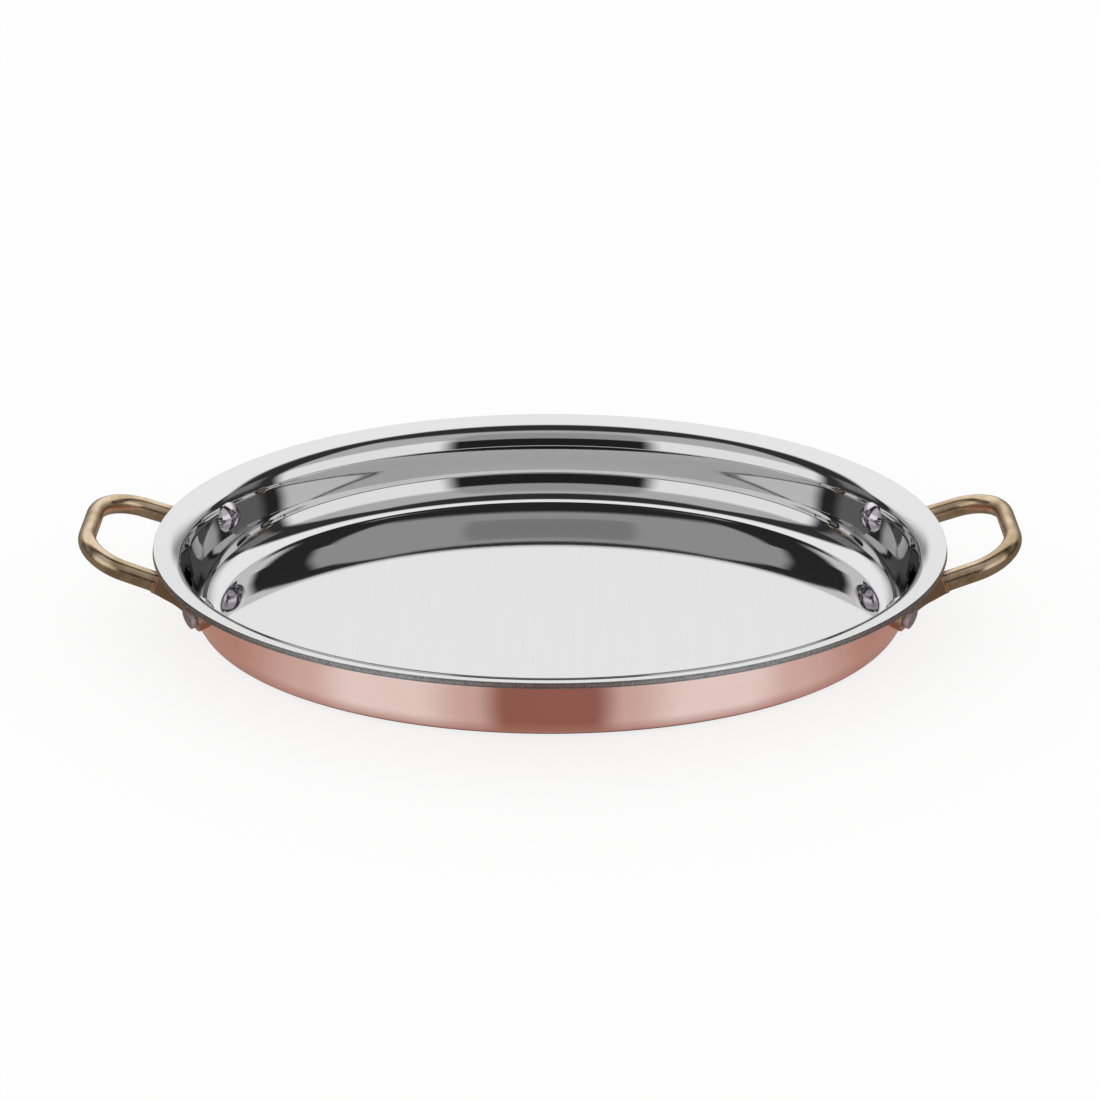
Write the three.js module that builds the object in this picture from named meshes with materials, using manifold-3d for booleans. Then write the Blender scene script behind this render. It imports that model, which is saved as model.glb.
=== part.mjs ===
// Oval omelette pan: a clad sheet pressed into a low oval dish with a flared lip,
// and two cast loop handles, each held by two rivets through the end wall.
// Millimetres, +Z up, origin on the standing face under the middle of the pan,
// +X along the long axis, so that the handles lie at -X (left) and +X (right).
import * as THREE from 'three';
import { ParametricGeometry } from 'three/addons/geometries/ParametricGeometry.js';
import { mergeVertices } from 'three/addons/utils/BufferGeometryUtils.js';
import Module from 'manifold-3d';

const wasm = await Module();
wasm.setup();

// Pan
const rimLength = 300;
const rimWidth = 206;
const panHeight = 33.6;
const lipWidth = 5.4;
const lipSlope = THREE.MathUtils.degToRad(16);
const lipBendRadius = 7.4;
const bendSlope = THREE.MathUtils.degToRad(66);
const bandSlope = THREE.MathUtils.degToRad(75.4);
const wallSlope = THREE.MathUtils.degToRad(82);
const bandRadius = 48;
const cornerSlope = THREE.MathUtils.degToRad(62);
const cornerRadius = 7.8;

// Clad sheet, from the cooking surface outwards
const steelThickness = 0.5;
const coreThickness = 1.3;
const copperThickness = 0.4;
const bondGap = 0.05;

// Rivets
const rivetSpacing = 73;
const rivetDepth = 12.4;
const shankDiameter = 5;
const innerHeadDiameter = 12.4;
const innerHeadHeight = 3;
const outerHeadDiameter = 8;
const outerHeadHeight = 1.8;

// Handles
const handleReach = 27;
const handleTilt = THREE.MathUtils.degToRad(21);
const rodWidth = 6.6;
const rodHeight = 7.9;
const armSpacing = 51;
const loopWidth = 47.6;
const loopRadius = 16;
const footThickness = 3;
const footHeight = 13.4;
const footPastRivet = 6.7;
const footBeforeRivet = 5.5;
const stripLength = 8;
const rootLength = 7;

// Fits between neighbouring pieces
const seatGap = 0.3;
const holeClearance = 0.3;

// Fineness of the facets
const roundSegments = 52;
const sectionArcSegments = 2;
const domeSegments = 4;
const rivetSegments = 16;
const handleSlices = 64;
const handleSides = 14;
const weldTolerance = 1e-4;

// Section shapes of the handle, as the power of a superellipse
const rodPower = 2;
const footPower = 6;
const circleHandle = 0.5523;

const sheetThickness = steelThickness + coreThickness + copperThickness + 2 * bondGap;
const halfLength = rimLength / 2;
const ovalDifference = (rimLength - rimWidth) / 2;
const floorHeight = sheetThickness;

// Half section of the cooking surface along the long axis, from the rim down: straight lip, lip bend,
// a wall that curves in to a flatter band and, below the band's steepest place, out again, rounded corner,
// flat floor. The curves above and below the band take up the height that the rest leaves.
const bendRise = lipBendRadius * (Math.cos(lipSlope) - Math.cos(bendSlope));
const bandRise = 2 * bandRadius * (Math.cos(bandSlope) - Math.cos(wallSlope));
const cornerRise = cornerRadius * (1 - Math.cos(cornerSlope));
const wallRise = panHeight - floorHeight - lipWidth * Math.tan(lipSlope) - bendRise - bandRise - cornerRise;
const wallCurve = wallRise / (Math.cos(bendSlope) + Math.cos(cornerSlope) - 2 * Math.cos(bandSlope));

// Moves from an arc's centre to its point at a slope, or back; convex arcs are centred outside the pan.
function arcStep(radius, slope) {
  return new THREE.Vector2(-radius * Math.sin(slope), radius * Math.cos(slope));
}

const lipInner = new THREE.Vector2(halfLength - lipWidth, panHeight - lipWidth * Math.tan(lipSlope));
const bendCentre = lipInner.clone().sub(arcStep(lipBendRadius, lipSlope));
const upperCentre = bendCentre.clone().add(arcStep(lipBendRadius - wallCurve, bendSlope));
const upperBandCentre = upperCentre.clone().add(arcStep(wallCurve - bandRadius, bandSlope));
const steepest = upperBandCentre.clone().add(arcStep(bandRadius, wallSlope));
const lowerBandCentre = steepest.clone().add(arcStep(bandRadius, wallSlope));
const lowerCentre = lowerBandCentre.clone().add(arcStep(wallCurve - bandRadius, bandSlope));
const cornerCentre = lowerCentre.clone().add(arcStep(cornerRadius - wallCurve, cornerSlope));
const flatRadius = cornerCentre.x;

// A face of the sheet lies at a depth from the cooking surface, parallel to it.
function facePoints(depth, rimOverrun = 0) {
  const quarter = Math.PI / 2;
  const lipEnd = lipWidth + rimOverrun;
  const face = new THREE.Path();

  function hollowArc(centre, radius, startSlope, endSlope) {
    face.absarc(centre.x, centre.y, radius, startSlope - quarter, endSlope - quarter);
  }

  function convexArc(centre, radius, startSlope, endSlope) {
    face.absarc(centre.x, centre.y, radius, startSlope + quarter, endSlope + quarter, true);
  }

  face.moveTo(0, floorHeight - depth);
  face.lineTo(flatRadius, floorHeight - depth);
  hollowArc(cornerCentre, cornerRadius + depth, 0, cornerSlope);
  hollowArc(lowerCentre, wallCurve + depth, cornerSlope, bandSlope);
  hollowArc(lowerBandCentre, bandRadius + depth, bandSlope, wallSlope);
  convexArc(upperBandCentre, bandRadius - depth, wallSlope, bandSlope);
  convexArc(upperCentre, wallCurve - depth, bandSlope, bendSlope);
  convexArc(bendCentre, lipBendRadius - depth, bendSlope, lipSlope);
  face.lineTo(
    lipInner.x + lipEnd + depth * Math.sin(lipSlope),
    lipInner.y + lipEnd * Math.tan(lipSlope) - depth * Math.cos(lipSlope),
  );
  return face.getPoints(sectionArcSegments / 2);
}

// The wall keeps one section all round, so the short axis is a fixed amount less than the long one.
function halfWidth(radius) {
  if (radius > flatRadius) return radius - ovalDifference;
  return radius * (flatRadius - ovalDifference) / flatRadius;
}

function ovalTurn(points) {
  const turned = new THREE.LatheGeometry(points, roundSegments).rotateX(Math.PI / 2);
  const position = turned.getAttribute('position');
  for (let i = 0; i < position.count; i += 1) {
    const radius = Math.hypot(position.getX(i), position.getY(i));
    if (radius > 0) position.setY(i, position.getY(i) * halfWidth(radius) / radius);
  }
  return turned;
}

// Closed solids for cutting, and back to a mesh
function toSolid(geometry) {
  const bare = new THREE.BufferGeometry();
  bare.setAttribute('position', geometry.getAttribute('position'));
  bare.setIndex(geometry.getIndex());
  const welded = mergeVertices(bare, weldTolerance);
  const index = welded.getIndex().array;
  const triangles = [];
  for (let i = 0; i < index.length; i += 3) {
    const [a, b, c] = index.slice(i, i + 3);
    if (a !== b && b !== c && c !== a) triangles.push(a, b, c);
  }
  return new wasm.Manifold(new wasm.Mesh({
    numProp: 3,
    vertProperties: new Float32Array(welded.getAttribute('position').array),
    triVerts: new Uint32Array(triangles),
  }));
}

function toMesh(solid, name, material) {
  const { vertProperties, triVerts } = solid.getMesh();
  const geometry = new THREE.BufferGeometry();
  geometry.setAttribute('position', new THREE.BufferAttribute(vertProperties, 3));
  geometry.setIndex(new THREE.BufferAttribute(triVerts, 1));
  geometry.computeVertexNormals();
  const mesh = new THREE.Mesh(geometry, material);
  mesh.name = name;
  return mesh;
}

// Where a rivet goes through the right end wall; end is 1 for the rear one and -1 for the front one.
const rivetHeight = panHeight - rivetDepth;
const aboveSteepest = rivetHeight - steepest.y;
const rivetSlope = Math.acos(Math.cos(wallSlope) + Math.abs(aboveSteepest) / bandRadius);
const wallLean = bandRadius * (Math.sin(wallSlope) - Math.sin(rivetSlope));
const wallRadius = steepest.x + Math.sign(aboveSteepest) * wallLean;
const outerWallRadius = wallRadius + sheetThickness / Math.sin(rivetSlope);
const rivetTurn = Math.asin(rivetSpacing / 2 / (outerWallRadius - ovalDifference));

function planNormal(longAxis, x, y) {
  const shortAxis = longAxis - ovalDifference;
  return new THREE.Vector2(x / longAxis ** 2, y / shortAxis ** 2).normalize();
}

// Local Y is the rivet's axis, outwards, and starts at the cooking surface.
function rivetPlace(end) {
  const x = wallRadius * Math.cos(rivetTurn);
  const y = end * (wallRadius - ovalDifference) * Math.sin(rivetTurn);
  const normal = planNormal(wallRadius, x, y);
  const axis = new THREE.Vector3(
    normal.x * Math.sin(rivetSlope),
    normal.y * Math.sin(rivetSlope),
    -Math.cos(rivetSlope),
  );
  const turn = new THREE.Quaternion().setFromUnitVectors(new THREE.Vector3(0, 1, 0), axis);
  return new THREE.Matrix4().compose(new THREE.Vector3(x, y, rivetHeight), turn, new THREE.Vector3(1, 1, 1));
}

// Distances along a rivet's axis. The inner head's flat back clears the hollow of the wall at its edge.
const wallHollowRadius = ((wallRadius * Math.sin(rivetTurn)) ** 2
  + ((wallRadius - ovalDifference) * Math.cos(rivetTurn)) ** 2) ** 1.5
  / (wallRadius * (wallRadius - ovalDifference));
const hollowDepth = wallHollowRadius - Math.sqrt(wallHollowRadius ** 2 - (innerHeadDiameter / 2) ** 2);
const innerHeadBack = -(seatGap + hollowDepth);
const footFace = sheetThickness + seatGap + footThickness;
const outerHeadBack = footFace + seatGap;

function rivetSolid() {
  const head = innerHeadDiameter / 2;
  const domeRadius = (head ** 2 + innerHeadHeight ** 2) / (2 * innerHeadHeight);
  const domeSpan = Math.asin(head / domeRadius);
  const domeCentre = innerHeadBack - innerHeadHeight + domeRadius;
  const down = -Math.PI / 2;
  const upset = outerHeadDiameter / 2;
  const upsetRound = outerHeadHeight / 4;
  const outerEnd = outerHeadBack + outerHeadHeight;
  const outline = new THREE.Path();
  outline.moveTo(0, innerHeadBack - innerHeadHeight);
  outline.absarc(0, domeCentre, domeRadius, down, down + domeSpan);
  outline.lineTo(shankDiameter / 2, innerHeadBack);
  outline.lineTo(shankDiameter / 2, outerHeadBack);
  outline.lineTo(upset, outerHeadBack);
  outline.lineTo(upset, outerEnd - upsetRound);
  outline.lineTo(upset - upsetRound, outerEnd);
  outline.lineTo(0, outerEnd);
  return toSolid(new THREE.LatheGeometry(outline.getPoints(domeSegments / 2), rivetSegments));
}

// A round cutter along a rivet's axis
function axisCutter(diameter, start, end, place) {
  const radius = diameter / 2;
  const cutter = new THREE.CylinderGeometry(radius, radius, end - start, rivetSegments);
  cutter.translate(0, (start + end) / 2, 0).applyMatrix4(place);
  return toSolid(cutter);
}

const holeDiameter = shankDiameter + 2 * holeClearance;
const holeOverrun = innerHeadDiameter;
const rivetEnds = [-1, 1];
const sides = [
  { name: 'left', turn: Math.PI },
  { name: 'right', turn: 0 },
];

// One ply of the sheet between two depths, with its four rivet holes
function plySolid(innerDepth, outerDepth) {
  let ply = toSolid(ovalTurn([...facePoints(outerDepth), ...facePoints(innerDepth).reverse()]));
  for (const side of sides) {
    const turn = new THREE.Matrix4().makeRotationZ(side.turn);
    for (const end of rivetEnds) {
      const place = turn.clone().multiply(rivetPlace(end));
      ply = ply.subtract(axisCutter(holeDiameter, -holeOverrun, holeOverrun, place));
    }
  }
  return ply;
}

// Half of a handle's centre line in plan, from the end of a foot to the middle of the loop
const footOverlap = 1;
const footHalf = (footThickness + seatGap + footOverlap) / 2;
const footAxis = outerWallRadius + seatGap + footThickness - footHalf;
const footShort = footAxis - ovalDifference;
const turnStep = Math.hypot(footAxis * Math.sin(rivetTurn), footShort * Math.cos(rivetTurn));
const footEndTurn = rivetTurn + footPastRivet / turnStep;
const footLeaveTurn = rivetTurn - footBeforeRivet / turnStep;

function halfHandlePlan() {
  const turnCos = Math.cos(footLeaveTurn);
  const turnSin = Math.sin(footLeaveTurn);
  const leave = new THREE.Vector2(footAxis * turnCos, footShort * turnSin);
  const alongWall = new THREE.Vector2(footAxis * turnSin, -footShort * turnCos).normalize();
  const rootReach = (leave.y - armSpacing / 2) / -alongWall.y;
  const root = leave.clone().addScaledVector(alongWall, rootReach);
  const loopEnd = halfLength + handleReach - rodWidth / 2 * Math.cos(handleTilt);
  const corner = new THREE.Vector2(loopEnd, loopWidth / 2);
  const armWay = corner.clone().sub(root).normalize();
  const rootEnd = root.clone().addScaledVector(armWay, rootReach);
  const bendStart = corner.clone().addScaledVector(armWay, -loopRadius);
  const bendEnd = new THREE.Vector2(loopEnd, corner.y - loopRadius);
  const firstPull = bendStart.clone().lerp(corner, circleHandle);
  const secondPull = bendEnd.clone().lerp(corner, circleHandle);
  const plan = new THREE.Path();
  plan.absellipse(0, 0, footAxis, footShort, footEndTurn, footLeaveTurn, true, 0);
  plan.quadraticCurveTo(root.x, root.y, rootEnd.x, rootEnd.y);
  plan.lineTo(bendStart.x, bendStart.y);
  plan.bezierCurveTo(firstPull.x, firstPull.y, secondPull.x, secondPull.y, bendEnd.x, bendEnd.y);
  plan.lineTo(loopEnd, 0);
  return plan;
}

const handlePlan = halfHandlePlan();
const handleHalfLength = handlePlan.getLength();
const handleLevel = footAxis * Math.cos(rivetTurn);
const loopUp = new THREE.Vector3(-Math.sin(handleTilt), 0, Math.cos(handleTilt));

// Signed power, for the sides of a superellipse
function rounded(value, power) {
  return Math.sign(value) * Math.abs(value) ** (2 / power);
}

// A point of the handle's skin: share runs from foot to foot, turn runs round the section.
// The section is a flat pad along the wall at the feet, and an oval rod in the loop.
function handleSkin(share, turn, target) {
  const fromFoot = 1 - Math.abs(2 * share - 1);
  const along = 1 - Math.cos(fromFoot * Math.PI / 2);
  const mirror = share < 0.5 ? 1 : -1;
  const spot = handlePlan.getPointAt(along);
  const heading = handlePlan.getTangentAt(along);
  const tangent = new THREE.Vector3(mirror * heading.x, heading.y, mirror * heading.x * Math.tan(handleTilt));
  tangent.normalize();

  const distance = along * handleHalfLength;
  const flatLength = footPastRivet + footBeforeRivet + stripLength;
  const rod = THREE.MathUtils.smoothstep(distance, flatLength, flatLength + rootLength);
  const normal = planNormal(footAxis, spot.x, mirror * spot.y);
  const wallUp = new THREE.Vector3(
    normal.x * Math.cos(rivetSlope),
    normal.y * Math.cos(rivetSlope),
    Math.sin(rivetSlope),
  );
  const side = wallUp.lerp(loopUp, rod).cross(tangent).normalize();
  const up = tangent.clone().cross(side);

  const endRound = Math.min(distance / (footHeight / 2), 1);
  const halfThick = THREE.MathUtils.lerp(footHalf, rodWidth / 2, rod);
  const roundEnd = Math.sqrt(1 - (1 - endRound) ** 2);
  const halfTall = THREE.MathUtils.lerp(footHeight / 2, rodHeight / 2, rod) * roundEnd;
  const power = THREE.MathUtils.lerp(footPower, rodPower, rod);
  const angle = -2 * Math.PI * (turn % 1);
  const height = rivetHeight + (spot.x - handleLevel) * Math.tan(handleTilt);
  target.set(spot.x, mirror * spot.y, height);
  target.addScaledVector(side, halfThick * rounded(Math.cos(angle), power));
  target.addScaledVector(up, halfTall * rounded(Math.sin(angle), power));
}

// All that the outside of the pan takes up, with the seat gap round it
function panSpace() {
  const outside = facePoints(sheetThickness + seatGap, seatGap);
  const clearHeight = panHeight + seatGap;
  const rim = outside[outside.length - 1];
  outside.push(new THREE.Vector2(rim.x, clearHeight), new THREE.Vector2(0, clearHeight));
  return toSolid(ovalTurn(outside));
}

function handleSolid() {
  let handle = toSolid(new ParametricGeometry(handleSkin, handleSlices, handleSides));
  handle = handle.subtract(panSpace());
  for (const end of rivetEnds) {
    const place = rivetPlace(end);
    const seatDiameter = outerHeadDiameter + 2 * holeClearance;
    handle = handle.subtract(axisCutter(holeDiameter, -holeOverrun, holeOverrun, place));
    handle = handle.subtract(axisCutter(seatDiameter, footFace, footFace + holeOverrun, place));
  }
  return handle;
}

// Finishes
const steelFinish = { color: 0xd6d8da, roughness: 0.12, metalness: 1 };
const coreFinish = { color: 0x9b9c9d, roughness: 0.55, metalness: 1 };
const copperFinish = { color: 0xc98a74, roughness: 0.2, metalness: 1 };
const brassFinish = { color: 0xb28c58, roughness: 0.3, metalness: 1 };
const rivetFinish = { color: 0xc3bec4, roughness: 0.25, metalness: 1 };

function finish(settings) {
  return new THREE.MeshStandardMaterial(settings);
}

const pan = new THREE.Group();
const coreInner = steelThickness + bondGap;
const copperInner = coreInner + coreThickness + bondGap;
pan.add(toMesh(plySolid(0, steelThickness), 'steel_lining', finish(steelFinish)));
pan.add(toMesh(plySolid(coreInner, coreInner + coreThickness), 'aluminium_core', finish(coreFinish)));
pan.add(toMesh(plySolid(copperInner, sheetThickness), 'copper_shell', finish(copperFinish)));

for (const { name, turn } of sides) {
  const side = new THREE.Group();
  side.rotation.z = turn;
  side.add(toMesh(handleSolid(), `handle_${name}`, finish(brassFinish)));
  for (const end of rivetEnds) {
    const rear = end * Math.cos(turn) > 0;
    const rivet = toMesh(rivetSolid(), `rivet_${name}_${rear ? 'rear' : 'front'}`, finish(rivetFinish));
    rivet.applyMatrix4(rivetPlace(end));
    side.add(rivet);
  }
  pan.add(side);
}

export default pan;
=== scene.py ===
import bpy
import math
from mathutils import Matrix, Vector


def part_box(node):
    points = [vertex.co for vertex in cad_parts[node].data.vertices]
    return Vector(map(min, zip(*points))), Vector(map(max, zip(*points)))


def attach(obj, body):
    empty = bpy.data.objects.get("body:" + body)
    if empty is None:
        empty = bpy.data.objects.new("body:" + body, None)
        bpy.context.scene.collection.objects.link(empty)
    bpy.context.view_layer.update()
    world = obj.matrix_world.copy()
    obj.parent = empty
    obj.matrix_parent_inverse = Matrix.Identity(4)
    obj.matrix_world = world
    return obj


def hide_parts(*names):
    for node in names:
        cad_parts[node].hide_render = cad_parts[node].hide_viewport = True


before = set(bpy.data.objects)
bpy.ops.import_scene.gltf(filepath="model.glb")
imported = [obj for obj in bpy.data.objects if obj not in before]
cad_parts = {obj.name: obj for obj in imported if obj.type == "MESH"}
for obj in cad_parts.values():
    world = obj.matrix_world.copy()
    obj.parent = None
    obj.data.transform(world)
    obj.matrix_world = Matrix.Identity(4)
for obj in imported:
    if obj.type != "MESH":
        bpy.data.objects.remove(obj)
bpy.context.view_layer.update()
bpy.ops.object.select_all(action="DESELECT")
print("frame loaded:", len(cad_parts), "nodes")

mm = 0.001

# Clad sheet and its section, all along one half of the long axis
sheet = {
    "steel": 0.5 * mm,
    "core": 1.3 * mm,
    "copper": 0.4 * mm,
    "bond": 0.05 * mm,
    "lipWidth": 5.4 * mm,
    "lipSlope": math.radians(11.5),  # at the cut edge
    "lipInnerSlope": math.radians(22),
    "lipBend": 10.5 * mm,
    "lipBendSlope": math.radians(45),
    "wallBend": 5.5 * mm,
    "bendSlope": math.radians(66),
    "upperWall": 22.5 * mm,
    "bandSlope": math.radians(75.4),
    "crease": 2.8 * mm,
    "creaseSlope": math.radians(79.6),
    "band": 122 * mm,
    "wallSlope": math.radians(82),  # steepest, half way up the band
    "cornerSlope": math.radians(66),
    "wallCorner": 8 * mm,
    "floorSlope": math.radians(42),
    "floorCorner": 11 * mm,
    "outerRun": 3 * mm,  # straight run down to the tighter corner of the outer faces
    "floorShares": (0, 0.35, 0.7, 0.92, 1),
    "edgeRound": 0.15 * mm,
    "edgeCorner": 0.3,  # share of the rounding at its middle point
    "edgeStart": 0.6 * mm,
    "edgeZone": 3 * mm,
    "edgeFacing": 0.9,
    "arcStep": math.radians(3.5),
    "arcSteps": 4,
    "roundSteps": 320,
    "smoothing": 30,
}
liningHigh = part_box("steel_lining")[1]
panHeight = liningHigh.z
halfLength = liningHigh.x - sheet["steel"] * math.sin(sheet["lipSlope"])
ovalDifference = liningHigh.x - liningHigh.y
coreDepth = sheet["steel"] + sheet["bond"]
copperDepth = coreDepth + sheet["core"] + sheet["bond"]
sheetDepth = copperDepth + sheet["copper"]


# From an arc's centre to its point at a slope; hollow arcs have their centre inside the pan
def hollowStep(radius, slope):
    return Vector((radius * math.sin(slope), -radius * math.cos(slope)))


def arcRise(radius, flatter, steeper):
    return radius * (math.cos(flatter) - math.cos(steeper))


# The lower wall takes up the height that the other arcs leave
lipRadius = sheet["lipWidth"] / (math.sin(sheet["lipInnerSlope"]) - math.sin(sheet["lipSlope"]))
otherRise = sum((
    arcRise(lipRadius, sheet["lipSlope"], sheet["lipInnerSlope"]),
    arcRise(sheet["lipBend"], sheet["lipInnerSlope"], sheet["lipBendSlope"]),
    arcRise(sheet["wallBend"], sheet["lipBendSlope"], sheet["bendSlope"]),
    arcRise(sheet["upperWall"], sheet["bendSlope"], sheet["bandSlope"]),
    2 * arcRise(sheet["crease"], sheet["bandSlope"], sheet["creaseSlope"]),
    2 * arcRise(sheet["band"], sheet["creaseSlope"], sheet["wallSlope"]),
    arcRise(sheet["wallCorner"], sheet["floorSlope"], sheet["cornerSlope"]),
    arcRise(sheet["floorCorner"], 0, sheet["floorSlope"]),
))
lowerWall = (panHeight - sheetDepth - otherRise) / arcRise(1, sheet["cornerSlope"], sheet["bandSlope"])

# Arc centres from the cut edge down to the floor
rimEdge = Vector((halfLength, panHeight))
lipCentre = rimEdge + hollowStep(lipRadius, sheet["lipSlope"])
lipBendCentre = lipCentre + hollowStep(sheet["lipBend"] - lipRadius, sheet["lipInnerSlope"])
wallBendCentre = lipBendCentre + hollowStep(sheet["wallBend"] - sheet["lipBend"], sheet["lipBendSlope"])
upperCentre = wallBendCentre + hollowStep(sheet["upperWall"] - sheet["wallBend"], sheet["bendSlope"])
upperCreaseCentre = upperCentre + hollowStep(sheet["crease"] - sheet["upperWall"], sheet["bandSlope"])
upperBandCentre = upperCreaseCentre + hollowStep(sheet["band"] - sheet["crease"], sheet["creaseSlope"])
steepest = upperBandCentre - hollowStep(sheet["band"], sheet["wallSlope"])
lowerBandCentre = steepest - hollowStep(sheet["band"], sheet["wallSlope"])
lowerCreaseCentre = lowerBandCentre + hollowStep(sheet["band"] - sheet["crease"], sheet["creaseSlope"])
lowerCentre = lowerCreaseCentre + hollowStep(sheet["crease"] - lowerWall, sheet["bandSlope"])
wallCornerCentre = lowerCentre + hollowStep(lowerWall - sheet["wallCorner"], sheet["cornerSlope"])
floorStep = hollowStep(sheet["wallCorner"] - sheet["floorCorner"], sheet["floorSlope"])
floorCornerCentre = wallCornerCentre + floorStep
flatRadius = floorCornerCentre.x


def arcPoints(centre, radius, startSlope, endSlope, hollow):
    side = 1 if hollow else -1
    points = []
    steps = max(math.ceil(abs(endSlope - startSlope) / sheet["arcStep"]), sheet["arcSteps"])
    for step in range(1, steps + 1):
        slope = startSlope + (endSlope - startSlope) * step / steps
        points.append(centre + side * hollowStep(radius, slope))
    return points


# Point of the lip at a depth in the sheet, and so far short of the cut edge
def lipPoint(depth, short=0.0):
    slope = sheet["lipSlope"]
    along = Vector((math.cos(slope), math.sin(slope)))
    down = Vector((math.sin(slope), -math.cos(slope)))
    return rimEdge - along * short + down * depth


# Floor corner of one face, and where its flat floor ends
def cornerPoints(depth):
    slope = sheet["cornerSlope"]
    if depth <= coreDepth:
        radius = sheet["wallCorner"] + depth
        points = arcPoints(floorCornerCentre, sheet["floorCorner"] + depth, 0, sheet["floorSlope"], True)
        points += arcPoints(wallCornerCentre, radius, sheet["floorSlope"], slope, True)
        return flatRadius, points
    top = lowerCentre + hollowStep(lowerWall + depth, slope)
    start = top - Vector((math.cos(slope), math.sin(slope))) * sheet["outerRun"]
    radius = (start.y - sheetDepth + depth) / (1 - math.cos(slope))
    centre = start - hollowStep(radius, slope)
    return centre.x, arcPoints(centre, radius, 0, slope, True) + [top]


# One face of the sheet from the middle of the floor to just short of the cut edge
def facePoints(depth):
    level = sheetDepth - depth
    lipEnd = sheet["lipSlope"] + sheet["edgeStart"] / lipRadius
    flatEnd, corner = cornerPoints(depth)
    points = [Vector((flatEnd * share, level)) for share in sheet["floorShares"]] + corner
    arcs = [
        (lowerCentre, lowerWall, sheet["cornerSlope"], sheet["bandSlope"], True),
        (lowerCreaseCentre, sheet["crease"], sheet["bandSlope"], sheet["creaseSlope"], True),
        (lowerBandCentre, sheet["band"], sheet["creaseSlope"], sheet["wallSlope"], True),
        (upperBandCentre, sheet["band"], sheet["wallSlope"], sheet["creaseSlope"], False),
        (upperCreaseCentre, sheet["crease"], sheet["creaseSlope"], sheet["bandSlope"], False),
        (upperCentre, sheet["upperWall"], sheet["bandSlope"], sheet["bendSlope"], False),
        (wallBendCentre, sheet["wallBend"], sheet["bendSlope"], sheet["lipBendSlope"], False),
        (lipBendCentre, sheet["lipBend"], sheet["lipBendSlope"], sheet["lipInnerSlope"], False),
        (lipCentre, lipRadius, sheet["lipInnerSlope"], lipEnd, False),
    ]
    for centre, radius, startSlope, endSlope, hollow in arcs:
        points += arcPoints(centre, radius + (depth if hollow else -depth), startSlope, endSlope, hollow)
    return points


# Closed half section of one ply, its two rim corners rounded
def plyPoints(innerDepth, outerDepth):
    rounding = sheet["edgeRound"]
    corner = rounding * sheet["edgeCorner"]
    rim = [lipPoint(innerDepth, rounding), lipPoint(innerDepth + corner, corner)]
    rim += [lipPoint(innerDepth + rounding), lipPoint(outerDepth - rounding)]
    rim += [lipPoint(outerDepth - corner, corner), lipPoint(outerDepth, rounding)]
    return facePoints(innerDepth) + rim + facePoints(outerDepth)[::-1]


# Half the short axis that goes with half a long axis: the wall keeps one section all round
def shortAxis(radius):
    if radius > flatRadius:
        return radius - ovalDifference
    return radius * (flatRadius - ovalDifference) / flatRadius


# Modelling steps that several pieces share
modelling = {
    "startSize": 1 * mm,
    "mergeDistance": 0.001 * mm,
}


def drawLine(name, points):
    bpy.ops.mesh.primitive_plane_add(size=modelling["startSize"], enter_editmode=True)
    bpy.ops.mesh.merge(type="CENTER")
    bpy.ops.transform.translate(value=(points[0].x, 0, points[0].y))
    for start, end in zip(points, points[1:]):
        stretch = (end.x - start.x, 0, end.y - start.y)
        bpy.ops.mesh.extrude_region_move(TRANSFORM_OT_translate={"value": stretch})
    piece = bpy.context.object
    piece.name = name
    return piece


def spinLine(name, points, steps):
    piece = drawLine(name, points)
    bpy.ops.mesh.select_all(action="SELECT")
    bpy.ops.mesh.spin(
        steps=steps, angle=2 * math.pi, center=(0, 0, 0), axis=(0, 0, 1), use_auto_merge=True
    )
    closeMesh()
    return piece


def closeMesh():
    bpy.ops.mesh.select_all(action="SELECT")
    bpy.ops.mesh.remove_doubles(threshold=modelling["mergeDistance"])
    bpy.ops.mesh.normals_make_consistent(inside=False)
    bpy.ops.object.mode_set(mode="OBJECT")


def pressOval(piece):
    for vertex in piece.data.vertices:
        radius = math.hypot(vertex.co.x, vertex.co.y)
        if radius > 0:
            vertex.co.y *= shortAxis(radius) / radius


def pickOnly(piece):
    bpy.ops.object.select_all(action="DESELECT")
    piece.select_set(True)
    bpy.context.view_layer.objects.active = piece


def applyPlace(piece, place):
    pickOnly(piece)
    piece.matrix_world = place
    bpy.ops.object.transform_apply(location=True, rotation=True, scale=True)


def cutAway(piece, cutter):
    pickOnly(piece)
    cut = piece.modifiers.new("cut", "BOOLEAN")
    cut.operation = "DIFFERENCE"
    cut.solver = "EXACT"
    cut.object = cutter
    bpy.ops.object.modifier_apply(modifier=cut.name)


def smoothFaces(piece, degrees):
    pickOnly(piece)
    bpy.ops.object.shade_smooth_by_angle(angle=math.radians(degrees))


def seat(piece, node):
    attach(piece, "root")
    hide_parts(node)


# Node steps that several finishes share
def startFinish(name):
    finish = bpy.data.materials.new(name)
    finish.use_nodes = True
    tree = finish.node_tree
    return finish, tree, tree.nodes["Principled BSDF"]


def startMetal(name):
    finish, tree, shader = startFinish(name)
    shader.inputs["Metallic"].default_value = 1
    return finish, tree, shader


def startGlow(name):
    finish, tree, shader = startFinish(name)
    tree.nodes.remove(shader)
    glow = tree.nodes.new("ShaderNodeEmission")
    tree.links.new(glow.outputs["Emission"], tree.nodes["Material Output"].inputs["Surface"])
    return finish, tree, glow


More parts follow.
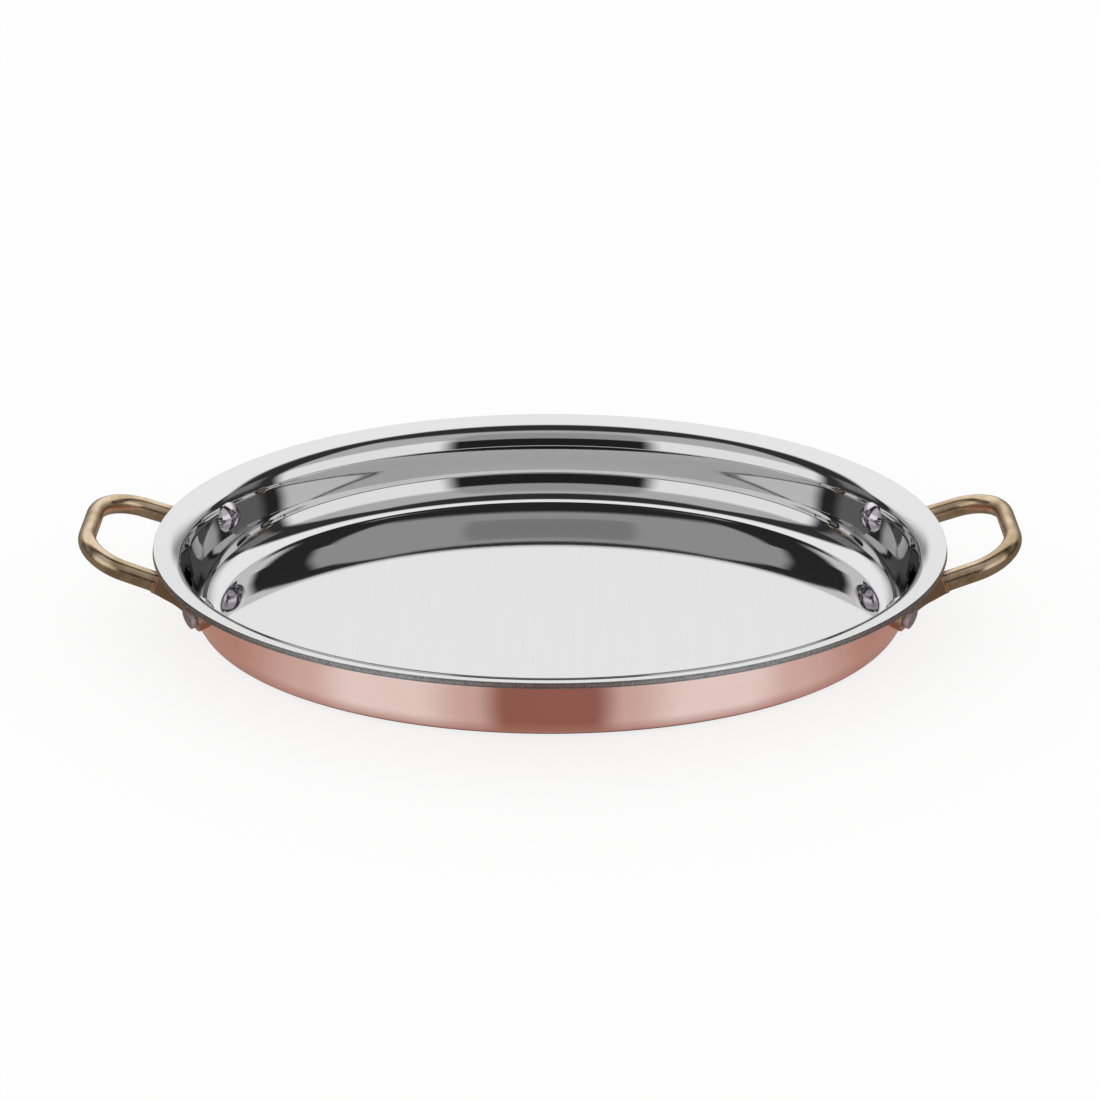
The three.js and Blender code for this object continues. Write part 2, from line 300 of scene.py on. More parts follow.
def grain(tree, scale, detail, stretch=(1, 1, 1)):
    place = tree.nodes.new("ShaderNodeTexCoord")
    mapping = tree.nodes.new("ShaderNodeMapping")
    mapping.inputs["Scale"].default_value = stretch
    noise = tree.nodes.new("ShaderNodeTexNoise")
    noise.inputs["Scale"].default_value = scale
    noise.inputs["Detail"].default_value = detail
    tree.links.new(place.outputs["Object"], mapping.inputs["Vector"])
    tree.links.new(mapping.outputs["Vector"], noise.inputs["Vector"])
    return noise.outputs["Fac"]


def placeAlong(tree, axis):
    place = tree.nodes.new("ShaderNodeTexCoord")
    split = tree.nodes.new("ShaderNodeSeparateXYZ")
    tree.links.new(place.outputs["Object"], split.inputs["Vector"])
    return split.outputs[axis]


def ramp(tree, value, start, end, low=0.0, high=1.0):
    node = tree.nodes.new("ShaderNodeMapRange")
    node.interpolation_type = "SMOOTHSTEP"
    tree.links.new(value, node.inputs["Value"])
    for label, amount in (("From Min", start), ("From Max", end), ("To Min", low), ("To Max", high)):
        node.inputs[label].default_value = amount
    return node.outputs["Result"]


def reckon(tree, operation, first, second=None):
    node = tree.nodes.new("ShaderNodeMath")
    node.operation = operation
    for socket, value in zip(node.inputs, (first, second)):
        if isinstance(value, (int, float)):
            socket.default_value = value
        elif value is not None:
            tree.links.new(value, socket)
    return node.outputs["Value"]


def blendTones(tree, factor, first, second):
    node = tree.nodes.new("ShaderNodeMix")
    node.data_type = "RGBA"
    tree.links.new(factor, node.inputs["Factor"])
    for label, tone in (("A", first), ("B", second)):
        socket = next(s for s in node.inputs if s.name == label and s.type == "RGBA")
        if isinstance(tone, tuple):
            socket.default_value = (*tone, 1)
        else:
            tree.links.new(tone, socket)
    return next(s for s in node.outputs if s.type == "RGBA")


def blendAmounts(tree, factor, first, second):
    node = tree.nodes.new("ShaderNodeMix")
    tree.links.new(factor, node.inputs[0])
    for socket, value in ((node.inputs[2], first), (node.inputs[3], second)):
        if isinstance(value, (int, float)):
            socket.default_value = value
        else:
            tree.links.new(value, socket)
    return node.outputs[0]


def roughen(tree, shader, height, strength, distance):
    bump = tree.nodes.new("ShaderNodeBump")
    bump.inputs["Strength"].default_value = strength
    bump.inputs["Distance"].default_value = distance
    tree.links.new(height, bump.inputs["Height"])
    tree.links.new(bump.outputs["Normal"], shader.inputs["Normal"])


# Lining: mirror polish, with fine satin lines across the floor
polish = {
    "bright": (0.665, 0.665, 0.665),
    "dull": (0.657, 0.657, 0.657),
    "edgeTint": (0.82, 0.82, 0.82),
    "wallRoughness": 0.02,
    "floorRoughness": (0.036, 0.045),
    "floorFade": (0.2 * mm, 1.5 * mm),
    "lineScale": 800,
    "lineDetail": 4,
    "lineStretch": (1, 0.03, 1),
    "lineSpan": (0.3, 0.7),
}


def polishedSteel():
    finish, tree, shader = startMetal("polishedSteel")
    shader.inputs["Specular Tint"].default_value = (*polish["edgeTint"], 1)
    lines = grain(tree, polish["lineScale"], polish["lineDetail"], polish["lineStretch"])
    fadeLow, fadeHigh = polish["floorFade"]
    satin = ramp(tree, placeAlong(tree, "Z"), sheetDepth + fadeLow, sheetDepth + fadeHigh, 1, 0)
    streaks = reckon(tree, "MULTIPLY", ramp(tree, lines, *polish["lineSpan"], 1, 0), satin)
    tone = blendTones(tree, streaks, polish["bright"], polish["dull"])
    tree.links.new(tone, shader.inputs["Base Color"])
    worn = ramp(tree, lines, *polish["lineSpan"], *polish["floorRoughness"])
    rough = blendAmounts(tree, satin, polish["wallRoughness"], worn)
    tree.links.new(rough, shader.inputs["Roughness"])
    return finish


# Rim: cut through and left with fine scratches
edge = {
    "pale": (0.44, 0.43, 0.43),
    "dark": (0.28, 0.27, 0.275),
    "scratchScale": 2200,
    "scratchDetail": 6,
    "scratchStretch": (1, 1, 0.3),
    "scratchSpan": (0.36, 0.62),
    "roughness": 0.4,
    "bump": (0.35, 0.08 * mm),
}


def shearedEdge():
    finish, tree, shader = startMetal("shearedEdge")
    shader.inputs["Roughness"].default_value = edge["roughness"]
    scratches = grain(tree, edge["scratchScale"], edge["scratchDetail"], edge["scratchStretch"])
    tone = blendTones(tree, ramp(tree, scratches, *edge["scratchSpan"]), edge["dark"], edge["pale"])
    tree.links.new(tone, shader.inputs["Base Color"])
    roughen(tree, shader, scratches, *edge["bump"])
    return finish


# Shell: soft polish with lines round the pan and slight clouding
copperLook = {
    "bright": (0.93, 0.655, 0.575),
    "deep": (0.90, 0.62, 0.54),
    "lineScale": 1400,
    "lineStretch": (0.02, 0.02, 1),
    "clouding": 26,
    "detail": 3,
    "span": (0.3, 0.7),
    "roughness": (0.09, 0.14),
    "bump": (0.04, 0.02 * mm),
}


def satinCopper():
    finish, tree, shader = startMetal("satinCopper")
    lines = grain(tree, copperLook["lineScale"], copperLook["detail"], copperLook["lineStretch"])
    clouds = grain(tree, copperLook["clouding"], copperLook["detail"])
    tone = blendTones(tree, ramp(tree, clouds, *copperLook["span"]), copperLook["deep"], copperLook["bright"])
    tree.links.new(tone, shader.inputs["Base Color"])
    rough = ramp(tree, lines, *copperLook["span"], *copperLook["roughness"])
    tree.links.new(rough, shader.inputs["Roughness"])
    roughen(tree, shader, lines, *copperLook["bump"])
    return finish


# Handles: cast skin with clouded toning, browner at the feet
brassLook = {
    "bright": (0.68, 0.53, 0.37),
    "toned": (0.46, 0.34, 0.21),
    "footTone": (0.40, 0.27, 0.18),
    "footFade": (146 * mm, 149.5 * mm),
    "clouding": 110,
    "cloudDetail": 5,
    "cloudSpan": (0.38, 0.66),
    "castScale": 1300,
    "castDetail": 3,
    "castSpan": (0.3, 0.7),
    "roughness": (0.19, 0.27),
    "bump": (0.06, 0.05 * mm),
}


def castBrass():
    finish, tree, shader = startMetal("castBrass")
    clouds = grain(tree, brassLook["clouding"], brassLook["cloudDetail"])
    cast = grain(tree, brassLook["castScale"], brassLook["castDetail"])
    clouding = ramp(tree, clouds, *brassLook["cloudSpan"])
    tone = blendTones(tree, clouding, brassLook["bright"], brassLook["toned"])
    reach = reckon(tree, "ABSOLUTE", placeAlong(tree, "X"))
    foot = ramp(tree, reach, *brassLook["footFade"], 1, 0)
    tree.links.new(blendTones(tree, foot, tone, brassLook["footTone"]), shader.inputs["Base Color"])
    rough = ramp(tree, cast, *brassLook["castSpan"], *brassLook["roughness"])
    tree.links.new(rough, shader.inputs["Roughness"])
    roughen(tree, shader, cast, *brassLook["bump"])
    return finish


# Rivets: bright domes inside the pan, dull heads outside
rivetLook = {
    "domeTones": ((0.62, 0.60, 0.63), (0.72, 0.70, 0.73)),
    "domeRoughness": (0.05, 0.11),
    "headTones": ((0.46, 0.42, 0.46), (0.56, 0.52, 0.56)),
    "headRoughness": (0.42, 0.5),
    "markScale": 700,
    "markDetail": 4,
    "markSpan": (0.35, 0.65),
}


def rivetSteel(name, tones, roughness):
    finish, tree, shader = startMetal(name)
    marks = grain(tree, rivetLook["markScale"], rivetLook["markDetail"])
    tone = blendTones(tree, ramp(tree, marks, *rivetLook["markSpan"]), *tones)
    tree.links.new(tone, shader.inputs["Base Color"])
    tree.links.new(ramp(tree, marks, *rivetLook["markSpan"], *roughness), shader.inputs["Roughness"])
    return finish


steelFinish = polishedSteel()
edgeFinish = shearedEdge()
copperFinish = satinCopper()
brassFinish = castBrass()
domeFinish = rivetSteel("rivetDome", rivetLook["domeTones"], rivetLook["domeRoughness"])
headFinish = rivetSteel("rivetHead", rivetLook["headTones"], rivetLook["headRoughness"])
print("finishes made")

# Rivets: one place through the right end wall, repeated at the four feet
rivet = {
    "spacing": 73 * mm,
    "depth": 12.4 * mm,
    "shank": 5 * mm,
    "domeWidth": 12.4 * mm,
    "domeHeight": 3 * mm,
    "domeSkirt": 0.35 * mm,
    "domeSink": 0.25 * mm,  # its rim goes into the curved wall
    "domeSteps": 14,
    "headWidth": 8 * mm,
    "headHeight": 2.1 * mm,
    "headSink": 0.05 * mm,
    "headRound": 0.45 * mm,
    "headCorner": 0.3,  # share of the rounding at its middle point
    "crownRing": 0.5,
    "crownRise": (0.06 * mm, 0.08 * mm),
    "hole": 5.6 * mm,
    "holeLength": 24 * mm,
    "holeSides": 32,
    "seatGap": 0.3 * mm,
    "footThickness": 3 * mm,
    "roundSteps": 56,
    "smoothing": 38,
}
rivetHeight = panHeight - rivet["depth"]
aboveSteepest = rivetHeight - steepest.y
rivetSlope = math.acos(math.cos(sheet["wallSlope"]) + abs(aboveSteepest) / sheet["band"])
wallLean = sheet["band"] * (math.sin(sheet["wallSlope"]) - math.sin(rivetSlope))
wallRadius = steepest.x + math.copysign(wallLean, aboveSteepest)
outerRadius = wallRadius + sheetDepth / math.sin(rivetSlope)
rivetTurn = math.asin(rivet["spacing"] / 2 / (outerRadius - ovalDifference))


def planNormal(longAxis, x, y):
    return Vector((x / longAxis ** 2, y / (longAxis - ovalDifference) ** 2)).normalized()


# The rivet's own Z runs outwards along its axis from the cooking surface
def rivetPlace(side, end):
    x = wallRadius * math.cos(rivetTurn)
    y = end * (wallRadius - ovalDifference) * math.sin(rivetTurn)
    normal = planNormal(wallRadius, x, y)
    level = math.sin(rivetSlope)
    axis = Vector((normal.x * level, normal.y * level, -math.cos(rivetSlope)))
    turn = Vector((0, 0, 1)).rotation_difference(axis).to_matrix().to_4x4()
    place = Matrix.Translation((x, y, rivetHeight)) @ turn
    return Matrix.Rotation(0 if side > 0 else math.pi, 4, "Z") @ place


# Half outline from the top of the dome, down the shank, to the middle of the head
def rivetPoints():
    half = rivet["domeWidth"] / 2
    shank = rivet["shank"] / 2
    domeRadius = (half ** 2 + rivet["domeHeight"] ** 2) / (2 * rivet["domeHeight"])
    span = math.asin(half / domeRadius)
    top = -rivet["domeSkirt"] - rivet["domeHeight"]
    points = []
    for step in range(rivet["domeSteps"] + 1):
        angle = span * step / rivet["domeSteps"]
        points.append(Vector((domeRadius * math.sin(angle), top + domeRadius * (1 - math.cos(angle)))))
    foot = sheetDepth + rivet["seatGap"] + rivet["footThickness"] - rivet["headSink"]
    end = foot + rivet["headHeight"]
    head = rivet["headWidth"] / 2
    rounding = rivet["headRound"]
    corner = rounding * rivet["headCorner"]
    ringRise, crownRise = rivet["crownRise"]
    back = rivet["domeSink"]
    points += [Vector((half, back)), Vector((shank, back)), Vector((shank, foot))]
    points += [Vector((head, foot)), Vector((head, end - rounding))]
    points += [Vector((head - corner, end - corner)), Vector((head - rounding, end))]
    points += [Vector((head * rivet["crownRing"], end + ringRise)), Vector((0, end + crownRise))]
    return points


rivetSeats = [(side, end) for side in (-1, 1) for end in (-1, 1)]
for side, end in rivetSeats:
    place = rivetPlace(side, end)
    sideName = "right" if side > 0 else "left"
    endName = "rear" if place.translation.y > 0 else "front"
    name = "rivet" + sideName.capitalize() + endName.capitalize()
    piece = spinLine(name, rivetPoints(), rivet["roundSteps"])
    piece.data.materials.append(domeFinish)
    piece.data.materials.append(headFinish)
    for face in piece.data.polygons:
        face.material_index = int(face.center.z > sheetDepth)
    applyPlace(piece, place)
    smoothFaces(piece, rivet["smoothing"])
    seat(piece, "rivet_" + sideName + "_" + endName)
print("rivets turned")


def holeCutters():
    cutters = []
    for side, end in rivetSeats:
        bpy.ops.mesh.primitive_cylinder_add(
            vertices=rivet["holeSides"], radius=rivet["hole"] / 2, depth=rivet["holeLength"]
        )
        cutters.append(bpy.context.object)
        applyPlace(cutters[-1], rivetPlace(side, end))
    pickOnly(cutters[0])
    for cutter in cutters:
        cutter.select_set(True)
    bpy.ops.object.join()
    return bpy.context.object


holes = holeCutters()

# The three plies of the clad sheet, each spun round and pressed oval
plies = [
    ("steelLining", "steel_lining", "lining", 0, sheet["steel"], steelFinish),
    ("aluminiumCore", "aluminium_core", "core", coreDepth, coreDepth + sheet["core"], edgeFinish),
    ("copperShell", "copper_shell", "copper", copperDepth, sheetDepth, copperFinish),
]
outward = Vector((math.cos(sheet["lipSlope"]), math.sin(sheet["lipSlope"])))
for name, node, slotName, innerDepth, outerDepth, finish in plies:
    ply = spinLine(name, plyPoints(innerDepth, outerDepth), sheet["roundSteps"])
    pressOval(ply)
    cutAway(ply, holes)
    smoothFaces(ply, sheet["smoothing"])
    ply.data.materials.append(finish)
    ply.data.materials.append(edgeFinish)
    for face in ply.data.polygons:
        flat = Vector((math.hypot(face.normal.x, face.normal.y), face.normal.z))
        if face.center.z > panHeight - sheet["edgeZone"] and flat.dot(outward) > sheet["edgeFacing"]:
            face.material_index = 1
    seat(ply, node)
print("sheet pressed")

# Handle: a tube of rings laid along its centre line, from one foot to the middle of the loop
handle = {
    "reach": 27 * mm,
    "tilt": math.radians(21),
    "rodWidth": 6.6 * mm,
    "rodHeight": 7.9 * mm,
    "armSpacing": 51 * mm,
    "loopWidth": 47.6 * mm,
    "loopRadius": 16 * mm,
    "footThickness": 3 * mm,
    "footHeight": 13.4 * mm,
    "footPast": 6.7 * mm,
    "footBefore": 5.5 * mm,
    "strip": 8 * mm,
    "root": 7 * mm,
    "overlap": 1 * mm,
    "seatGap": 0.3 * mm,
    "shoulder": 28.6 * mm,
    "shoulderTop": 24.6 * mm,
    "shoulderStep": 1.1 * mm,
    "shoulderBlend": 8 * mm,
    "shoulderSide": (-0.2, 0.25),  # the step is on the outer side only
    "shoulderMargin": (1 * mm, 2 * mm),
    "slimming": (14 * mm, 31 * mm),
    "platePower": 7,
    "rodPower": 2,
    "sides": 40,
    "footRings": 10,
    "ringSpacing": (1.4 * mm, 0.3 * mm, 1.3 * mm),
    "cornerPull": 0.5523,
    "lineSteps": 200,
    "seamMerge": 0.01 * mm,
    "smoothing": 35,
}
footHalf = (handle["footThickness"] + handle["seatGap"] + handle["overlap"]) / 2
footAxis = outerRadius + handle["seatGap"] + handle["footThickness"] - footHalf
footShort = footAxis - ovalDifference
turnStep = math.hypot(footAxis * math.sin(rivetTurn), footShort * math.cos(rivetTurn))
handleLevel = footAxis * math.cos(rivetTurn)
loopUp = Vector((-math.sin(handle["tilt"]), 0, math.cos(handle["tilt"])))


def smooth(value, start, end):
    share = min(max((value - start) / (end - start), 0), 1)
    return share * share * (3 - 2 * share)


def between(first, second, share):
    return first + (second - first) * share


# Centre line in plan: foot along the wall, bend, arm, round corner, half the loop's end
def handleLine():
    startTurn = rivetTurn + handle["footPast"] / turnStep
    leaveTurn = rivetTurn - handle["footBefore"] / turnStep
    leave = Vector((footAxis * math.cos(leaveTurn), footShort * math.sin(leaveTurn)))
    wallWay = Vector((footAxis * math.sin(leaveTurn), -footShort * math.cos(leaveTurn))).normalized()
    rootReach = (leave.y - handle["armSpacing"] / 2) / -wallWay.y
    root = leave + wallWay * rootReach
    loopEnd = halfLength + handle["reach"] - handle["rodWidth"] / 2 * math.cos(handle["tilt"])
    corner = Vector((loopEnd, handle["loopWidth"] / 2))
    armWay = (corner - root).normalized()
    rootEnd = root + armWay * rootReach
    bendStart = corner - armWay * handle["loopRadius"]
    bendEnd = Vector((loopEnd, corner.y - handle["loopRadius"]))
    firstPull = bendStart.lerp(corner, handle["cornerPull"])
    secondPull = bendEnd.lerp(corner, handle["cornerPull"])
    shares = [step / handle["lineSteps"] for step in range(handle["lineSteps"] + 1)]
    points = []
    for t in shares:
        turn = between(startTurn, leaveTurn, t)
        points.append(Vector((footAxis * math.cos(turn), footShort * math.sin(turn))))
    for t in shares[1:]:
        points.append(leave.lerp(root, t).lerp(root.lerp(rootEnd, t), t))
    for t in shares[1:]:
        points.append(rootEnd.lerp(bendStart, t))
    for t in shares[1:]:
        a, b, c = bendStart.lerp(firstPull, t), firstPull.lerp(secondPull, t), secondPull.lerp(bendEnd, t)
        points.append(a.lerp(b, t).lerp(b.lerp(c, t), t))
    points += [bendEnd.lerp(Vector((loopEnd, 0)), t) for t in shares[1:]]
    return points


linePoints = handleLine()
lineLengths = [0.0]
for start, end in zip(linePoints, linePoints[1:]):
    lineLengths.append(lineLengths[-1] + (end - start).length)


def lineSpot(distance):
    index = 1
    while index < len(lineLengths) - 1 and lineLengths[index] < distance:
        index += 1
    start, end = linePoints[index - 1], linePoints[index]
    share = (distance - lineLengths[index - 1]) / (lineLengths[index] - lineLengths[index - 1])
    return start.lerp(end, share), (end - start).normalized()


# Rings stand close at the round end of the foot, closest at the shoulder
def ringStations():
    footRound = handle["footHeight"] / 2
    rings = handle["footRings"]
    stations = [footRound * (1 - math.cos(step * math.pi / 2 / rings)) for step in range(rings + 1)]
    before, past = handle["shoulderMargin"]
    ends = (handle["shoulderTop"] - before, handle["shoulder"] + past, lineLengths[-1])
    for end, spacing in zip(ends, handle["ringSpacing"]):
        start = stations[-1]
        count = math.ceil((end - start) / spacing)
        stations += [between(start, end, step / count) for step in range(1, count + 1)]
    return stations


def squared(value, power):
    return math.copysign(abs(value) ** (2 / power), value)


# A plate along the wall at the foot; past the shoulder, an oval rod that stands proud of the plate
def skinPoint(distance, angle):
    spot, heading = lineSpot(distance)
    tangent = Vector((heading.x, heading.y, heading.x * math.tan(handle["tilt"]))).normalized()
    flatLength = handle["footPast"] + handle["footBefore"] + handle["strip"]
    rod = smooth(distance, flatLength, flatLength + handle["root"])
    normal = planNormal(footAxis, spot.x, spot.y)
    lean = math.cos(rivetSlope)
    wallUp = Vector((normal.x * lean, normal.y * lean, math.sin(rivetSlope)))
    side = wallUp.lerp(loopUp, rod).cross(tangent).normalized()
    up = tangent.cross(side)

    outer = smooth(math.cos(angle), *handle["shoulderSide"])
    start = between(handle["shoulder"], handle["shoulderTop"], max(math.sin(angle), 0) ** 2)
    step = between(handle["shoulderBlend"], handle["shoulderStep"], outer)
    proud = smooth(distance, start - step / 2, start + step / 2)
    endRound = min(distance / (handle["footHeight"] / 2), 1)
    halfThick = between(footHalf, handle["rodWidth"] / 2, proud)
    slim = smooth(distance, *handle["slimming"])
    halfTall = between(handle["footHeight"], handle["rodHeight"], slim) / 2
    halfTall *= math.sqrt(1 - (1 - endRound) ** 2)
    power = between(handle["platePower"], handle["rodPower"], proud)
    height = rivetHeight + (spot.x - handleLevel) * math.tan(handle["tilt"])
    across = side * halfThick * squared(math.cos(angle), power)
    return Vector((spot.x, spot.y, height)) + across + up * halfTall * squared(math.sin(angle), power)


def castHandle():
    stations = ringStations()
    bpy.ops.mesh.primitive_circle_add(
        vertices=handle["sides"], radius=1, fill_type="NOTHING", enter_editmode=True
    )
    for ring in stations[1:]:
        bpy.ops.mesh.extrude_region_move(TRANSFORM_OT_translate={"value": (0, 0, 1)})
    bpy.ops.object.mode_set(mode="OBJECT")
    piece = bpy.context.object
    piece.name = "handleRight"
    for vertex in piece.data.vertices:
        angle = math.atan2(vertex.co.y, vertex.co.x)
        vertex.co = skinPoint(stations[round(vertex.co.z)], angle)
    mirror = piece.modifiers.new("otherFoot", "MIRROR")
    mirror.use_axis = (False, True, False)
    mirror.merge_threshold = handle["seamMerge"]
    bpy.ops.object.modifier_apply(modifier=mirror.name)
    bpy.ops.object.mode_set(mode="EDIT")
    closeMesh()
    return piece


handleRight = castHandle()
wallPoints = facePoints(sheetDepth) + [lipPoint(sheetDepth), Vector((lipPoint(sheetDepth).x, panHeight))]
wallCutter = spinLine("wallCutter", wallPoints + [Vector((0, panHeight))], sheet["roundSteps"])
pressOval(wallCutter)
cutAway(handleRight, wallCutter)
cutAway(handleRight, holes)
smoothFaces(handleRight, handle["smoothing"])
handleRight.data.materials.append(brassFinish)
pickOnly(handleRight)
bpy.ops.object.duplicate()
handleLeft = bpy.context.object
handleLeft.name = "handleLeft"
applyPlace(handleLeft, Matrix.Rotation(math.pi, 4, "Z"))
seat(handleRight, "handle_right")
seat(handleLeft, "handle_left")
for cutter in (wallCutter, holes):
    bpy.data.objects.remove(cutter)
print("handles cast")

# Pale floor, white to the eye; it keeps the pan's soft shadow
floorLook = {
    "size": 12,
    "level": -0.3 * mm,
    "tone": (0.96, 0.96, 0.96),
    "lift": 0.8,
}


def addFloor():
    bpy.ops.mesh.primitive_plane_add(size=floorLook["size"], location=(0, 0, floorLook["level"]))
    floor = bpy.context.object
    floor.name = "floor"
    finish, tree, shader = startFinish("paleFloor")
    shader.inputs["Base Color"].default_value = (*floorLook["tone"], 1)
    shader.inputs["Specular IOR Level"].default_value = 0
    path = tree.nodes.new("ShaderNodeLightPath")
    seen = reckon(tree, "MAXIMUM", path.outputs["Is Camera Ray"], path.outputs["Is Glossy Ray"])
    seen = reckon(tree, "MAXIMUM", seen, path.outputs["Is Transmission Ray"])
    glow = tree.nodes.new("ShaderNodeEmission")
    mix = tree.nodes.new("ShaderNodeMixShader")
    tree.links.new(reckon(tree, "MULTIPLY", seen, floorLook["lift"]), mix.inputs["Fac"])
    tree.links.new(shader.outputs["BSDF"], mix.inputs[1])
    tree.links.new(glow.outputs["Emission"], mix.inputs[2])
    tree.links.new(mix.outputs["Shader"], tree.nodes["Material Output"].inputs["Surface"])
    floor.data.materials.append(finish)


# Glowing card under the pan that only the metal sees: a painted reflection of the lit table. Its tones run
# round the pan, the same in each quarter; painted shadow darkens them towards its foot, under the handles and
# beneath the pan
card = {
    "size": 8,
    "level": -0.1 * mm,
    "oval": (135 * mm, 88 * mm),
    # painted reflection of the lit table: dark in the middle of the long sides, pale between, darker again at
    # the ends
    "tones": [
        (0.11, (0.29, 0.156, 0.132)),
        (0.20, (0.62, 0.55, 0.54)),
        (0.36, (0.81, 0.87, 0.91)),
        (0.52, (0.81, 0.88, 0.92)),
        (0.66, (0.64, 0.57, 0.56)),
        (0.90, (0.46, 0.32, 0.28)),
    ],
    # painted contact shadow: darker towards the pan's foot
    "footTone": (0.40, 0.25, 0.22),
    "footFade": (0.975, 1.065),
    # painted shadow of the handles on the table
    "handleShadowTone": (0.25, 0.22, 0.19),
    "handleShadowFade": (142 * mm, 156 * mm),
    # painted shade, almost black, beneath the pan
    "underShadowTone": (0.03, 0.02, 0.02),
    "underShadowFade": (0.97, 0.995),
}


def addCard():
    bpy.ops.mesh.primitive_plane_add(size=card["size"], location=(0, 0, card["level"]))
    tableReflectionSheet = bpy.context.object
    tableReflectionSheet.name = "paintedTableReflection"
    finish, tree, glow = startGlow("paintedTableReflection")
    across = reckon(tree, "ABSOLUTE", placeAlong(tree, "X"))
    longShare = reckon(tree, "DIVIDE", across, card["oval"][0])
    shortShare = reckon(tree, "DIVIDE", placeAlong(tree, "Y"), card["oval"][1])
    squares = [reckon(tree, "POWER", longShare, 2), reckon(tree, "MULTIPLY", shortShare, shortShare)]
    reach = reckon(tree, "SQRT", reckon(tree, "ADD", *squares))
    # ramp of the painted table reflection, running round the pan
    tones = tree.nodes.new("ShaderNodeValToRGB")
    tones.color_ramp.interpolation = "EASE"
    stops = tones.color_ramp.elements
    for index, (place, tone) in enumerate(card["tones"]):
        stop = stops[index] if index < 2 else stops.new(place)
        stop.position = place
        stop.color = (*tone, 1)
    tree.links.new(reckon(tree, "DIVIDE", longShare, reach), tones.inputs["Fac"])

    # painted shadow: darker towards the pan's foot, under the handles and beneath the pan
    tone = blendTones(tree, ramp(tree, reach, *card["footFade"]), card["footTone"], tones.outputs["Color"])
    tone = blendTones(tree, ramp(tree, across, *card["handleShadowFade"]), tone, card["handleShadowTone"])
    tone = blendTones(tree, ramp(tree, reach, *card["underShadowFade"]), card["underShadowTone"], tone)
    tree.links.new(tone, glow.inputs["Color"])
    tableReflectionSheet.data.materials.append(finish)
    tableReflectionSheet.visible_camera = False
    tableReflectionSheet.visible_diffuse = False
    tableReflectionSheet.visible_shadow = False


# Tent of white, grey and dark panels that only the metal sees; edges are shares of the way to it
tent = {
    "radius": 3,
    "segments": 64,
    "rings": 32,
    "dark": 0.04,
    "backTone": (0.4, 1.18),
    "backRise": (0.15, 0.6),
    "backMiddle": (0.12, 0.34),
    "backEdge": (0.12, 0.25),
    "backNarrow": (0.30, 0.55, 0.2, 0),
    "frontEdge": (-0.42, -0.30),
    "frontTop": (0.925, 0.965),
    "stripEdge": (0.30, 0.385),
    "stripTone": (0.02, 0.40),
    "stripStep": (0.30, 0.335),
    "stripTop": (0.74, 0.92),
    "panelTone": (1.08, 0.58),
    "panelStep": (0.34, 0.55),
    "sideTone": 0.22,
    "sideEdge": (0.12, 0.25),
    "sideFoot": (0.10, 0.20),
    "sideTop": (0.52, 0.62),
}


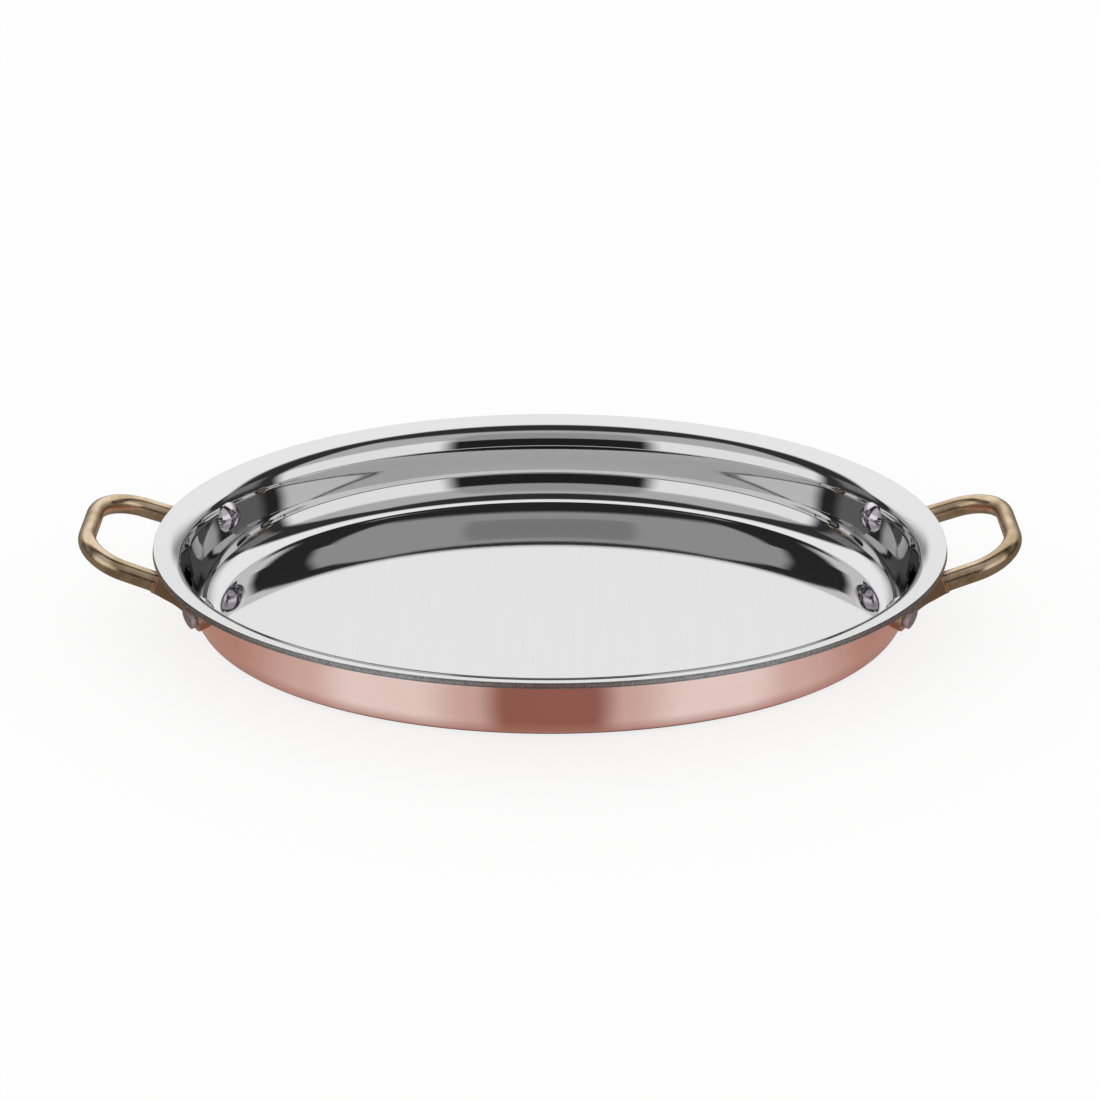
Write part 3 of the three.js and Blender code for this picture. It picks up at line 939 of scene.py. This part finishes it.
def addTent():
    bpy.ops.mesh.primitive_uv_sphere_add(
        segments=tent["segments"], ring_count=tent["rings"], radius=tent["radius"]
    )
    cover = bpy.context.object
    cover.name = "tent"
    finish, tree, glow = startGlow("tentPanels")
    place = tree.nodes.new("ShaderNodeTexCoord")
    way = tree.nodes.new("ShaderNodeVectorMath")
    way.operation = "NORMALIZE"
    split = tree.nodes.new("ShaderNodeSeparateXYZ")
    tree.links.new(place.outputs["Object"], way.inputs[0])
    tree.links.new(way.outputs["Vector"], split.inputs["Vector"])
    across = reckon(tree, "ABSOLUTE", split.outputs["X"])
    depth, height = split.outputs["Y"], split.outputs["Z"]
    level = reckon(tree, "SQRT", reckon(tree, "SUBTRACT", 1, reckon(tree, "POWER", height, 2)))
    bearing = reckon(tree, "DIVIDE", across, level)
    facing = reckon(tree, "DIVIDE", depth, level)

    # Front: a dark strip in the middle of a pale panel
    strip = ramp(tree, height, *tent["stripStep"], *tent["stripTone"])
    panel = ramp(tree, height, *tent["panelStep"], *tent["panelTone"])
    strip = blendAmounts(tree, ramp(tree, height, *tent["stripTop"]), strip, panel)
    front = blendAmounts(tree, ramp(tree, bearing, *tent["stripEdge"]), strip, panel)
    lit = ramp(tree, facing, *tent["frontEdge"], 1, 0)
    lit = reckon(tree, "MULTIPLY", lit, ramp(tree, height, *tent["frontTop"], 1, 0))
    tone = blendAmounts(tree, lit, tent["dark"], front)

    # Sides: a grey card, which the floor of the pan mirrors when seen from the ends
    side = ramp(tree, reckon(tree, "ABSOLUTE", facing), *tent["sideEdge"], 1, 0)
    side = reckon(tree, "MULTIPLY", side, ramp(tree, height, *tent["sideFoot"]))
    side = reckon(tree, "MULTIPLY", side, ramp(tree, height, *tent["sideTop"], 1, 0))
    tone = blendAmounts(tree, side, tone, tent["sideTone"])

    # Back: a white panel that fades down at both sides
    back = ramp(tree, height, *tent["backRise"], *tent["backTone"])
    back = blendAmounts(tree, ramp(tree, across, *tent["backMiddle"]), tent["backTone"][1], back)
    inset = reckon(tree, "SUBTRACT", depth, ramp(tree, height, *tent["backNarrow"]))
    tone = blendAmounts(tree, ramp(tree, inset, *tent["backEdge"]), tone, back)
    tree.links.new(tone, glow.inputs["Strength"])
    cover.data.materials.append(finish)
    cover.visible_camera = False
    cover.visible_diffuse = False


addFloor()
addCard()
addTent()
world = bpy.data.worlds.new("plainWhite")
world.use_nodes = True
world.node_tree.nodes["Background"].inputs["Color"].default_value = (1, 1, 1, 1)
bpy.context.scene.world = world
bpy.context.scene.view_settings.view_transform = "Standard"
print("studio set")

# Camera: the photograph's view, over the front rim
view = {
    "frame": 1100,
    "focal": 2277.6,
    "distance": 866 * mm,
    "elevation": math.radians(29.44),
    "rimCentreRow": 534.48,
    "sensor": 36,
    "clipStart": 10 * mm,
}
bpy.ops.object.camera_add()
camera = bpy.context.object
camera.name = "camera"
camera.location = (
    0,
    -view["distance"] * math.cos(view["elevation"]),
    panHeight + view["distance"] * math.sin(view["elevation"]),
)
camera.rotation_euler = (math.pi / 2 - view["elevation"], 0, 0)
camera.data.sensor_fit = "HORIZONTAL"
camera.data.sensor_width = view["sensor"]
camera.data.lens = view["sensor"] * view["focal"] / view["frame"]
camera.data.shift_y = (view["rimCentreRow"] - view["frame"] / 2) / view["frame"]
camera.data.clip_start = view["clipStart"]
bpy.context.scene.camera = camera
print("camera set")
